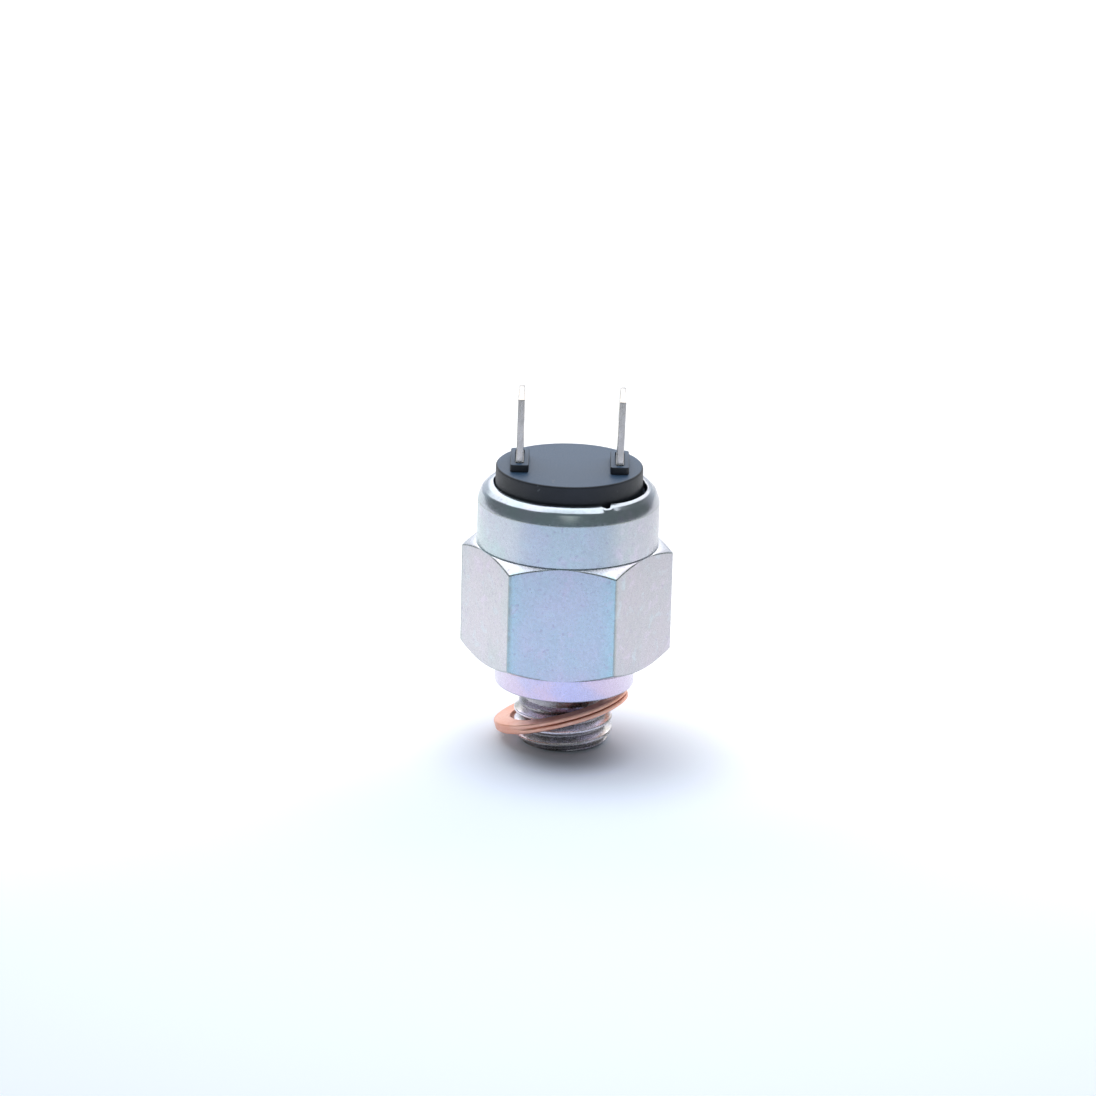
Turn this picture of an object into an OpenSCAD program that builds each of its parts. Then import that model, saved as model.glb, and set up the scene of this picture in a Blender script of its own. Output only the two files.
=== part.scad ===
// Diaphragm pressure switch with a hexagon steel housing, a threaded pressure stud, a loose
// copper crush washer on the thread, and two blade terminals in a black insulating cap.
// Millimetres. The origin is the centre of the stud's end face, and +Z runs up the axis.

/* [Housing] */
// Hexagon, across flats
hex_af = 22; // [22:0.5:24]
// Height of the hexagon
hex_h = 14; // [13.5:0.5:16]
// Turn of the hexagon about the axis, from flats square to the terminals
hex_turn = -2.4; // [-30:0.1:30]
// Radius of the round flange under the hexagon
flange_r = 8.4; // [8.2:0.1:10]
// Radius of the crimped tube above the hexagon
tube_r = 10.87; // [10.8:0.01:10.95]
// Height of the tube, from the hexagon to the top of the rolled lip
tube_h = 7.2; // [7.2:0.1:9]
// Radius of the roll on the lip's outside
roll_r = 1.6; // [1.2:0.1:1.6]
// Radius of the opening inside the rolled lip
lip_r = 9.29; // [9.1:0.01:9.4]

/* [Thread] */
// Crest radius of the metric thread
thread_r = 5.95; // [5.9:0.01:6]
// Pitch of the thread
pitch = 1.5; // [1.25:0.25:1.5]
// Length of the stud below the flange
stud_h = 7.4; // [7.4:0.1:12]
// Radius of the pressure port
port_r = 2; // [1:0.1:2.5]

/* [Washer] */
// Outer radius of the crush washer
washer_r = 8.3; // [8:0.05:8.4]
// Inner radius of the crush washer
washer_in_r = 6.2; // [6.2:0.05:6.3]
// Thickness of the crush washer
washer_t = 1.2; // [1:0.05:1.2]
// Angle at which the washer hangs on the thread
washer_tilt = 17; // [0:0.5:17]
// Compass direction of the washer's high side, from +X towards +Y
washer_high = -24; // [-180:1:180]
// Height of the hanging washer's centre
washer_z = 3.75; // [3.7:0.05:3.8]
// How far the hanging washer's centre lies towards its low side
washer_shift = 0.3; // [0.25:0.05:0.3]

/* [Terminals] */
// Distance between the middles of the two blades
blade_gap = 11.9; // [11:0.1:12]
// Thickness of a blade
blade_t = 0.8; // [0.5:0.1:0.8]
// Width of a blade
blade_w = 4.8; // [4:0.1:4.8]
// Height of the blades' tips above the stud's end face
blade_top = 44; // [42:0.5:46]

/* [Cap] */
// Radius of the cap above its flange
cap_r = 8.78; // [8.5:0.01:8.9]
// Radius of the cap's flange under the lip
cap_flange_r = 9.85; // [9.7:0.01:9.85]
// How far the cap stands above the lip
cap_rise = 2.35; // [1:0.05:4]
// Height of the raised seat round each blade
boss_h = 0.9; // [0.4:0.1:1.5]

/* [Mechanism] */
// Stroke of the pressure piston
stroke = 0.9; // [0.7:0.05:0.9]
// How much less the bridge rises than the piston, taken up by the contact spring
overtravel = 0.3; // [0.1:0.05:0.3]
// Wire thickness of the main spring
main_wire = 0.8; // [0.6:0.05:0.8]
// Working turns of the main spring
main_turns = 4; // [3:1:4]
// Wire thickness of the contact spring
contact_wire = 0.3; // [0.2:0.05:0.3]

/* [Hidden] */
$fn = 96;
cut = 0.01;                  // sliver that a cutting shape passes its face by
deep = 2;                    // how far a through cut runs past the solid
slide = 0.05;                // radial clearance of a running fit
touch = 0.005;               // gap left where two moving faces close on each other
wire_sides = 8;              // sides of a spring wire's section

// heights up the housing
flange_z = stud_h;
hex_z = flange_z + 3.6;
tube_z = hex_z + hex_h;
lip_z = tube_z + tube_h;
lip_t = 1.1;
hex_r = hex_af / sqrt(3);
hex_slope = 30;              // mean slope of the crowned ends of the hexagon
stud_chamfer = 0.8;
neck_h = 3.1;
neck_r = thread_r - 1.1;
root_r = thread_r - 0.87;

// chamber and bores inside the housing
seat_z = hex_z + 1.4;
chamber_h = 1;
chamber_r = 5.4;
bore_r = 8;
cap_bore_r = cap_flange_r + slide;
fit_r = bore_r - slide;

// diaphragm, piston and guide ring
seal_wire_r = 0.65;
seal_squeeze = 0.55;
diaphragm_seal_r = 6.75;
seal_groove_w = 1.5;
diaphragm_t = 0.5;
piston_z = seat_z + diaphragm_t;
piston_r = 5;
piston_h = 2.4;
spigot_r = 2.1;
spigot_h = 1.7;
stop_z = piston_z + piston_h + stroke + touch;
stop_r = 3.7;
guide_top = stop_z + 1;

// main spring, its seat and the adjusting screw
spring_z = piston_z + piston_h;
spring_h = 6.9;
spring_r = 2.75;
seat_t = 0.5;
seat_washer_r = 3.2;
seat_washer_z = spring_z + spring_h;
screw_r = 4.5;
screw_top = seat_washer_z + seat_t + 1.2;
screw_h = 2.0;
screw_slot_w = 0.9;
screw_slot_h = 0.6;
carrier_top = screw_top - 0.3;

// push rod, contact bridge and contacts
rod_r = 1;
rod_sink = 1.4;
shoulder_z = screw_top + 0.2;
shoulder_h = 0.5;
shoulder_r = 2.1;
contact_spring_z = shoulder_z + shoulder_h;
contact_spring_h = 1.8;
contact_spring_r = 1.6;
contact_turns = 2;
bridge_z = contact_spring_z + contact_spring_h;
bridge_t = 0.5;
bridge_l = 10;
bridge_w = 3.2;
contact_x = 3.7;
contact_r = 1.2;
shank_r = 0.6;
contact_h = 0.4;
clip_z = bridge_z + bridge_t;
clip_t = 0.4;
clip_r = 1.8;
groove_r = 0.8;
rod_top = clip_z + clip_t + 0.6;
closed_z = clip_z + contact_h + stroke - overtravel + touch;
fixed_contact_h = 0.5;

// terminals and cap
blade_x = blade_gap / 2;
foot_z = closed_z + fixed_contact_h;
foot_in = 2.3;
tip_h = 0.8;
tip_deep = 1.15;
tip_t = 0.6;
latch_hole_r = 0.85;
latch_hole_down = 3;
ceiling_z = foot_z + blade_t;
flange_top = lip_z - lip_t;
flange_bottom = flange_top - 2.1;
seal_gap = 2 * seal_squeeze;
cap_bore_z = flange_bottom - seal_gap;
cap_seal_r = 8.95;
cap_top = lip_z + cap_rise;
cap_edge = 0.25;
root_step = 0.05;            // how much each face of a blade stands out where the cap holds it
root_top = cap_top + boss_h + 0.05;
skirt_in_r = 6.95;
boss_w = 2.2;
boss_l = 7;
mouth_w = 1.1;
mouth_l = 5.4;
mouth_h = 0.4;

// A helical body: each ring of section points [radius, height] is carried round by the angle
// and up by the rise of its step.
module helix(section, steps, angle_at, rise_at) {
    n = len(section);
    points = [for (i = [0:steps]) let (a = angle_at(i), z = rise_at(i)) each
        [for (p = section) [p[0] * cos(a), p[0] * sin(a), p[1] + z]]];
    sides = [for (i = [0:steps - 1], j = [0:n - 1]) let (k = (j + 1) % n) each
        [[i * n + j, i * n + k, (i + 1) * n + k], [i * n + j, (i + 1) * n + k, (i + 1) * n + j]]];
    first = [for (j = [n - 1:-1:0]) j];
    last = [for (j = [0:n - 1]) steps * n + j];
    polyhedron(points = points, faces = concat([first], sides, [last]), convexity = 8);
}

// A compression spring whose first and last turns lie closed on their neighbours.
module coil(mean_r, wire, height, turns, per_turn) {
    total = turns + 2;
    rise = height - wire;
    open_pitch = (rise - 2 * wire) / turns;
    wire_ring = [for (c = [0:wire_sides - 1]) let (a = 360 * (c + 0.5) / wire_sides)
        [mean_r + wire / 2 * cos(a), wire / 2 * sin(a)]];
    climb = function (t) t < 1 ? t * wire
        : t > turns + 1 ? rise - (total - t) * wire
        : wire + (t - 1) * open_pitch;
    translate([0, 0, wire / 2])
        helix(wire_ring, total * per_turn, function (i) 360 * i / per_turn,
            function (i) climb(i / per_turn));
}

// A rubber ring squeezed flat between two faces.
module squeezed_ring(ring_r) {
    rotate_extrude()
        translate([ring_r, 0])
            intersection() {
                circle(r = seal_wire_r);
                square([4 * seal_wire_r, 2 * seal_squeeze], center = true);
            }
}

// The V of the thread, run out through the end face and into the neck.
module thread_groove() {
    tip_flat = pitch / 16;
    outside_r = thread_r + 0.2;
    half_w = tip_flat + (outside_r - root_r) * tan(30);
    per_turn = 24;
    turns = (stud_h - neck_h + 2.2 * pitch) / pitch;
    v_section = [[root_r, -tip_flat], [outside_r, -half_w], [outside_r, half_w], [root_r, tip_flat]];
    steps = round(turns * per_turn);
    translate([0, 0, -1.2 * pitch])
        helix(v_section, steps, function (i) 360 * i / per_turn,
            function (i) pitch * i / per_turn);
}

module housing_outline() {
    polygon([
        [0, 0], [thread_r - stud_chamfer, 0], [thread_r, stud_chamfer + 0.1],
        [thread_r, flange_z - neck_h], [neck_r, flange_z - neck_h + thread_r - neck_r],
        [neck_r, flange_z], [flange_r - 0.15, flange_z], [flange_r, flange_z + 0.15],
        [flange_r, hex_z + cut], [0, hex_z + cut]
    ]);
    translate([0, tube_z - cut]) square([tube_r, tube_h + cut - roll_r]);
    translate([0, lip_z - roll_r - cut]) square([tube_r - roll_r, roll_r + cut]);
    translate([tube_r - roll_r, lip_z - roll_r]) circle(r = roll_r);
}

// The hexagon between two balls that crown its ends: each meets the flats' middles at the end face.
module crowned_hexagon() {
    crown_r = (hex_r + hex_af / 2) / 2 / sin(hex_slope);
    crown_down = sqrt(pow(crown_r, 2) - pow(hex_af / 2, 2));
    intersection() {
        translate([0, 0, hex_z]) rotate([0, 0, hex_turn]) cylinder(r = hex_r, h = hex_h, $fn = 6);
        translate([0, 0, tube_z - crown_down]) sphere(r = crown_r);
        translate([0, 0, hex_z + crown_down]) sphere(r = crown_r);
    }
}

module housing_bores() {
    rotate_extrude() {
        translate([0, -deep]) square([port_r, seat_z + deep]);
        polygon([[0, -cut], [port_r + 0.6, -cut], [port_r, 0.6], [0, 0.6]]);
        translate([0, seat_z - chamber_h]) square([chamber_r, chamber_h + cut]);
        translate([diaphragm_seal_r - seal_groove_w / 2, seat_z - seal_gap])
            square([seal_groove_w, seal_gap + cut]);
        translate([0, seat_z]) square([bore_r, cap_bore_z - seat_z + cut]);
        translate([0, cap_bore_z]) square([cap_bore_r, flange_top - cap_bore_z]);
        translate([0, flange_top - cut]) square([lip_r, lip_t + deep]);
    }
}

module hex_body() {
    color("lightsteelblue")
        difference() {
            union() {
                rotate_extrude() housing_outline();
                crowned_hexagon();
            }
            housing_bores();
            thread_groove();
        }
}

// A folded ring: two leaves of copper whose open edge shows as a groove round the outside.
module sealing_washer() {
    edge = 0.25;
    fold_h = 0.2;
    fold_deep = 0.5;
    half_t = washer_t / 2;
    color("darksalmon")
        rotate([0, 0, washer_high])
            translate([-washer_shift, 0, washer_z])
                rotate([0, -washer_tilt, 0])
                    rotate_extrude()
                        polygon([
                            [washer_in_r, -half_t + edge], [washer_in_r + edge, -half_t],
                            [washer_r - edge, -half_t], [washer_r, -half_t + edge],
                            [washer_r, -fold_h / 2], [washer_r - fold_deep, 0],
                            [washer_r, fold_h / 2], [washer_r, half_t - edge],
                            [washer_r - edge, half_t], [washer_in_r + edge, half_t],
                            [washer_in_r, half_t - edge]
                        ]);
}

module diaphragm_seal() {
    color("dimgray") translate([0, 0, seat_z - seal_squeeze]) squeezed_ring(diaphragm_seal_r);
}

module diaphragm() {
    color("saddlebrown") translate([0, 0, seat_z]) cylinder(r = fit_r, h = diaphragm_t);
}

// Clamps the diaphragm's rim, guides the piston and stops its stroke.
module guide_ring() {
    color("goldenrod")
        difference() {
            translate([0, 0, piston_z]) cylinder(r = fit_r, h = guide_top - piston_z);
            translate([0, 0, piston_z - deep])
                cylinder(r = piston_r + slide, h = stop_z - piston_z + deep);
            translate([0, 0, piston_z]) cylinder(r = stop_r, h = guide_top);
        }
}

module pressure_piston() {
    rim = 0.4;
    color("silver")
        translate([0, 0, piston_z])
            difference() {
                rotate_extrude()
                    polygon([
                        [0, 0], [piston_r - rim, 0], [piston_r, rim], [piston_r, piston_h],
                        [spigot_r, piston_h], [spigot_r, piston_h + spigot_h - rim],
                        [spigot_r - rim, piston_h + spigot_h], [0, piston_h + spigot_h]
                    ]);
                translate([0, 0, piston_h + spigot_h - rod_sink - spigot_h])
                    cylinder(r = rod_r, h = rod_sink + spigot_h + deep);
            }
}

// Insulating rod from the piston to the contact bridge, with a shoulder under the contact spring
// and a groove for the clip.
module push_rod() {
    rod_z = spring_z - rod_sink;
    tip = 0.3;
    color("ivory")
        rotate_extrude()
            polygon([
                [0, rod_z], [rod_r, rod_z], [rod_r, shoulder_z], [shoulder_r, shoulder_z],
                [shoulder_r, shoulder_z + shoulder_h], [rod_r, shoulder_z + shoulder_h],
                [rod_r, clip_z], [groove_r, clip_z], [groove_r, clip_z + clip_t],
                [rod_r, clip_z + clip_t], [rod_r, rod_top - tip], [rod_r - tip, rod_top],
                [0, rod_top]
            ]);
}

module main_spring() {
    color("gray") translate([0, 0, spring_z])
        coil(spring_r, main_wire, spring_h, main_turns, 18);
}

module spring_seat() {
    spigot = 2.1;
    color("silver")
        translate([0, 0, seat_washer_z])
            difference() {
                union() {
                    cylinder(r = seat_washer_r, h = seat_t);
                    translate([0, 0, -seat_t]) cylinder(r = spigot, h = seat_t + cut);
                }
                translate([0, 0, -deep]) cylinder(r = rod_r + 0.3, h = 2 * deep);
            }
}

// Hollow screw that sets the spring load: recessed below for the spring seat, slotted on top.
module adjusting_screw() {
    color("darkkhaki")
        difference() {
            translate([0, 0, screw_top - screw_h]) cylinder(r = screw_r, h = screw_h);
            translate([0, 0, screw_top - screw_h - cut])
                cylinder(r = seat_washer_r + 0.1, h = seat_washer_z + seat_t - screw_top + screw_h + cut);
            translate([0, 0, screw_top - screw_h]) cylinder(r = rod_r + slide, h = screw_h + deep);
            translate([-screw_r - deep, -screw_slot_w / 2, screw_top - screw_slot_h])
                cube([2 * (screw_r + deep), screw_slot_w, screw_slot_h + cut]);
        }
}

module screw_carrier() {
    color("slategray")
        translate([0, 0, guide_top])
            difference() {
                cylinder(r = fit_r, h = carrier_top - guide_top);
                translate([0, 0, -deep]) cylinder(r = screw_r, h = carrier_top + deep);
            }
}

module contact_spring() {
    color("lightgray") translate([0, 0, contact_spring_z])
        coil(contact_spring_r, contact_wire, contact_spring_h, contact_turns, 16);
}

module contact_bridge() {
    color("peru")
        translate([0, 0, bridge_z])
            difference() {
                intersection() {
                    translate([-bridge_l / 2, -bridge_w / 2, 0]) cube([bridge_l, bridge_w, bridge_t]);
                    cylinder(r = bridge_l / 2, h = bridge_t);
                }
                translate([0, 0, -deep]) cylinder(r = rod_r + slide, h = 2 * deep);
                for (side = [-1, 1])
                    translate([side * contact_x, 0, -deep]) cylinder(r = shank_r, h = 2 * deep);
            }
}

// A contact rivet, head up, with its shank through the grip and an upset end below it.
module contact_rivet(head_h, grip) {
    tail_h = 0.2;
    tail_r = 0.9;
    cylinder(r = contact_r, h = head_h);
    translate([0, 0, -grip]) cylinder(r = shank_r, h = grip + cut);
    translate([0, 0, -grip - tail_h]) cylinder(r = tail_r, h = tail_h);
}

module moving_contacts() {
    color("gainsboro")
        for (side = [-1, 1])
            translate([side * contact_x, 0, clip_z]) contact_rivet(contact_h, bridge_t);
}

// An open ring that snaps into the rod's groove above the bridge.
module retaining_clip() {
    mouth = 1.1;
    color("dimgray")
        translate([0, 0, clip_z])
            difference() {
                cylinder(r = clip_r, h = clip_t);
                translate([0, 0, -deep]) cylinder(r = groove_r, h = 2 * deep);
                translate([0, -mouth / 2, -deep]) cube([clip_r + deep, mouth, 2 * deep]);
            }
}

// One terminal on the +X side: a blade with a thinned tip, slightly thicker where the cap holds it,
// and a foot turned in under the cap.
module terminal() {
    tip_inset = (blade_t - tip_t) / 2;
    half_t = blade_t / 2;
    half_root = half_t + root_step;
    color("silver")
        difference() {
            intersection() {
                translate([0, blade_w / 2, 0])
                    rotate([90, 0, 0])
                        linear_extrude(height = blade_w)
                            polygon([
                                [foot_in, foot_z], [blade_x + half_root, foot_z],
                                [blade_x + half_root, root_top], [blade_x + half_t, root_top],
                                [blade_x + half_t, blade_top - tip_h],
                                [blade_x + half_t - tip_inset, blade_top],
                                [blade_x - half_t + tip_inset, blade_top],
                                [blade_x - half_t, blade_top - tip_h],
                                [blade_x - half_t, root_top], [blade_x - half_root, root_top],
                                [blade_x - half_root, foot_z + blade_t], [foot_in, foot_z + blade_t]
                            ]);
                rotate([90, 0, 90])
                    linear_extrude(height = 2 * blade_x)
                        polygon([
                            [-blade_w / 2, foot_z - deep], [blade_w / 2, foot_z - deep],
                            [blade_w / 2, blade_top - tip_h], [blade_w / 2 - tip_deep, blade_top],
                            [-blade_w / 2 + tip_deep, blade_top], [-blade_w / 2, blade_top - tip_h]
                        ]);
            }
            translate([contact_x, 0, foot_z - deep]) cylinder(r = shank_r, h = 2 * deep);
            translate([blade_x - deep, 0, blade_top - latch_hole_down])
                rotate([0, 90, 0]) cylinder(r = latch_hole_r, h = 2 * deep);
        }
}

module terminal_left() { mirror([1, 0, 0]) terminal(); }

module terminal_right() { terminal(); }

// A fixed contact under a terminal's foot, its shank flush with the foot's upper face.
module fixed_contact(side) {
    color("gainsboro")
        translate([side * contact_x, 0, closed_z]) {
            cylinder(r = contact_r, h = fixed_contact_h);
            cylinder(r = shank_r, h = fixed_contact_h + blade_t);
        }
}

module fixed_contact_left() { fixed_contact(-1); }

module fixed_contact_right() { fixed_contact(1); }

module cap_outline() {
    polygon([
        [0, ceiling_z], [skirt_in_r, ceiling_z], [skirt_in_r, carrier_top],
        [fit_r, carrier_top], [fit_r, flange_bottom], [cap_flange_r, flange_bottom],
        [cap_flange_r, flange_top], [cap_r, flange_top], [cap_r, cap_top - cap_edge],
        [cap_r - cap_edge, cap_top], [0, cap_top]
    ]);
}

module insulator_cap() {
    color("darkslategray")
        difference() {
            union() {
                rotate_extrude() cap_outline();
                for (side = [-1, 1])
                    translate([side * blade_x - boss_w / 2, -boss_l / 2, cap_top - cut])
                        cube([boss_w, boss_l, boss_h + cut]);
            }
            for (side = [-1, 1])
                translate([side * blade_x, 0, 0]) {
                    translate([-blade_t / 2 - root_step, -blade_w / 2, foot_z])
                        cube([blade_t + 2 * root_step, blade_w, blade_top - foot_z]);
                    translate([-mouth_w / 2, -mouth_l / 2, cap_top + boss_h - mouth_h])
                        cube([mouth_w, mouth_l, mouth_h + cut]);
                }
        }
}

module cap_seal() {
    color("dimgray") translate([0, 0, flange_bottom - seal_squeeze]) squeezed_ring(cap_seal_r);
}

hex_body();
sealing_washer();
diaphragm_seal();
diaphragm();
guide_ring();
pressure_piston();
push_rod();
main_spring();
spring_seat();
adjusting_screw();
screw_carrier();
contact_spring();
contact_bridge();
moving_contacts();
retaining_clip();
terminal_left();
terminal_right();
fixed_contact_left();
fixed_contact_right();
insulator_cap();
cap_seal();
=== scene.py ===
"""The looks of a hexagon-bodied pressure switch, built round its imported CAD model.

The CAD's frame is used throughout: metres, +Z up the axis, the origin at the stud's end face.
Lengths below are named in millimetres and turned into metres by MM.
"""
from math import atan, atan2, ceil, cos, degrees, hypot, pi, radians, sin, sqrt, tan

import bmesh
import bpy
from mathutils import Matrix, Vector


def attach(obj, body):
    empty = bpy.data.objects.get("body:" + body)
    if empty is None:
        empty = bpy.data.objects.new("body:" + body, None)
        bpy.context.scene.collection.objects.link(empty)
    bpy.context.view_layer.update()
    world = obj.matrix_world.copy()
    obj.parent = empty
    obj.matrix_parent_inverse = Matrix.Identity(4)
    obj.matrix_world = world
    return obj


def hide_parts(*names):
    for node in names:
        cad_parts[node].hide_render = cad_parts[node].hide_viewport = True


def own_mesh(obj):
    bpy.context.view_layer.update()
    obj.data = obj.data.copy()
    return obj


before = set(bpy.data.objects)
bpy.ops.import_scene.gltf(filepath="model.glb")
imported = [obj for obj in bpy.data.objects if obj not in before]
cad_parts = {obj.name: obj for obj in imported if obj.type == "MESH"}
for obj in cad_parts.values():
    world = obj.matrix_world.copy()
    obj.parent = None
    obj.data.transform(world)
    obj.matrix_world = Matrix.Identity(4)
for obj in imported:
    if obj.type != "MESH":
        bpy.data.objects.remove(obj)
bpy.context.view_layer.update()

MM = 0.001
SCENE = bpy.context.scene

# ---------------------------------------------------------------- sizes of the visible pieces, mm
STUD_H = 7.4
THREAD_R, ROOT_R, PITCH = 5.95, 5.08, 1.5
STUD_CHAMFER_R, STUD_CHAMFER_H = 5.15, 0.9
NECK_R, NECK_Z = 4.85, 4.3
PORT_R, PORT_MOUTH_R, PORT_MOUTH_H = 2.0, 2.6, 0.6
FLANGE_R, HEX_Z, TUBE_Z, LIP_Z = 8.4, 11.0, 25.0, 32.2
HEX_HALF, HEX_TURN, HEX_SLOPE, HEX_CORNER = 11.0, -2.4, 30, 0.3
TUBE_R, ROLL_H, LIP_R, LIP_T = 10.87, 1.9, 8.98, 1.1
INNER = [(9.9, 31.1), (9.9, 27.9), (8.0, 27.9), (8.0, 12.4), (7.5, 12.4), (7.5, 11.3),
         (6.0, 11.3), (6.0, 12.4), (5.4, 12.4), (5.4, 11.4), (PORT_R, 11.4)]
WASHER_R, WASHER_IN_R, WASHER_T = 8.3, 6.2, 1.2
WASHER_TILT, WASHER_HIGH, WASHER_Z, WASHER_SHIFT = 17, -24, 3.75, 0.3
CAP_R, CAP_FLANGE_R, CAP_TOP, CAP_FLANGE_Z = 8.78, 9.85, 34.55, 29.0
CAP_SKIRT_Z, CAP_SKIRT_R, CAP_SKIRT_IN_R, CEILING_Z = 23.6, 7.95, 6.95, 29.205
BOSS_W, BOSS_L, BOSS_H = 2.2, 7.0, 0.9
MOUTH_W, MOUTH_L, MOUTH_H = 1.1, 5.4, 0.4
BLADE_X, BLADE_T, BLADE_W, BLADE_TOP = 5.95, 0.8, 4.8, 43.98
TIP_H, TIP_DEEP, TIP_T, LATCH_R, LATCH_DOWN = 0.8, 1.15, 0.62, 0.85, 3.0
FOOT_Z, FOOT_IN = 28.405, 2.3
ROOT_STEP, ROOT_TOP = 0.05, 35.5

# ---------------------------------------------------------------- camera
VIEW_ELEVATION, VIEW_DISTANCE, VIEW_ROLL, VIEW_LENS = 19.1, 595, 1.52, 162.7
VIEW_HEIGHT = 18                 # the height on the axis that the distance is measured to
LOOK_LEFT, LOOK_UP = 2.18, 5.78  # the object stands right of and below the frame's centre


def add_camera():
    e, roll = radians(VIEW_ELEVATION), radians(VIEW_ROLL)
    ahead = Vector((0, cos(e), -sin(e)))
    level = Vector((1, 0, 0))
    over = level.cross(ahead)
    right = level * cos(roll) + over * sin(roll)
    up = over * cos(roll) - level * sin(roll)
    middle = Vector((0, 0, VIEW_HEIGHT))
    place = middle - ahead * VIEW_DISTANCE
    look = (middle - right * LOOK_LEFT + up * LOOK_UP - place).normalized()
    right = (right - look * right.dot(look)).normalized()
    turn = Matrix((right, right.cross(look), -look)).transposed().to_4x4()
    data = bpy.data.cameras.new("camera")
    data.lens = VIEW_LENS
    data.sensor_width = 36
    data.clip_start, data.clip_end = 0.01, 20
    camera = bpy.data.objects.new("camera", data)
    SCENE.collection.objects.link(camera)
    camera.matrix_world = Matrix.Translation(place * MM) @ turn
    SCENE.camera = camera


# ---------------------------------------------------------------- node helpers
class Nodes:
    """A short way to write a shader's nodes: add() makes one, and its inputs take values or outputs."""

    def __init__(self, tree):
        self.tree = tree
        tree.nodes.clear()

    def add(self, kind, inputs=None, **settings):
        node = self.tree.nodes.new(kind)
        for key, value in settings.items():
            setattr(node, key, value)
        for key, value in (inputs or {}).items():
            if isinstance(value, bpy.types.NodeSocket):
                self.tree.links.new(value, node.inputs[key])
            else:
                node.inputs[key].default_value = value
        return node

    def math(self, operation, a, b=0.0):
        return self.add("ShaderNodeMath", {0: a, 1: b}, operation=operation).outputs[0]

    def mix(self, factor, a, b, blend="MIX"):
        node = self.add("ShaderNodeMix", data_type="RGBA", blend_type=blend)
        for key, value in (("Factor_Float", factor), ("A_Color", a), ("B_Color", b)):
            socket = next(s for s in node.inputs if s.identifier == key)
            if isinstance(value, bpy.types.NodeSocket):
                self.tree.links.new(value, socket)
            else:
                socket.default_value = value if key == "Factor_Float" else (*value, 1)
        return next(s for s in node.outputs if s.identifier == "Result_Color")

    def remap(self, value, low, high, to_low=0.0, to_high=1.0):
        """Takes low..high to to_low..to_high, softly at both ends and never past them."""
        inputs = {"Value": value, "From Min": low, "From Max": high, "To Min": to_low, "To Max": to_high}
        return self.add("ShaderNodeMapRange", inputs, interpolation_type="SMOOTHSTEP").outputs[0]

    def place_mm(self, stretch=(1, 1, 1)):
        """The place on the object in millimetres, stretched so that a pattern can run along an axis."""
        spot = self.add("ShaderNodeTexCoord").outputs["Object"]
        scale = [s / MM for s in stretch]
        return self.add("ShaderNodeMapping", {"Vector": spot, "Scale": scale}).outputs[0]

    def noise(self, where, per_mm, detail=3.0, roughness=0.55, distortion=0.0):
        inputs = {"Vector": where, "Scale": per_mm, "Detail": detail, "Roughness": roughness,
                  "Distortion": distortion}
        return self.add("ShaderNodeTexNoise", inputs).outputs[0]

    def distance(self, where, point):
        """How far a place is from a fixed point."""
        inputs = {0: where, 1: point}
        return self.add("ShaderNodeVectorMath", inputs, operation="DISTANCE").outputs["Value"]

    def attribute(self, name):
        return self.add("ShaderNodeAttribute", attribute_name=name).outputs["Fac"]

    def bump(self, height, depth_mm, strength=1.0):
        inputs = {"Height": height, "Distance": depth_mm * MM, "Strength": strength}
        return self.add("ShaderNodeBump", inputs).outputs[0]


def new_material(name, **constants):
    """A material with one Principled shader. Constants go on the shader's own sockets."""
    material = bpy.data.materials.new(name)
    material.use_nodes = True
    nodes = Nodes(material.node_tree)
    shader = nodes.add("ShaderNodeBsdfPrincipled")
    out = nodes.add("ShaderNodeOutputMaterial")
    nodes.tree.links.new(shader.outputs[0], out.inputs[0])
    for key, value in constants.items():
        socket = shader.inputs[key.replace("_", " ")]
        socket.default_value = (*value, 1) if isinstance(value, tuple) else value
    return material, nodes, shader


def plug(nodes, shader, **outputs):
    for key, value in outputs.items():
        nodes.tree.links.new(value, shader.inputs[key.replace("_", " ")])


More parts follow.
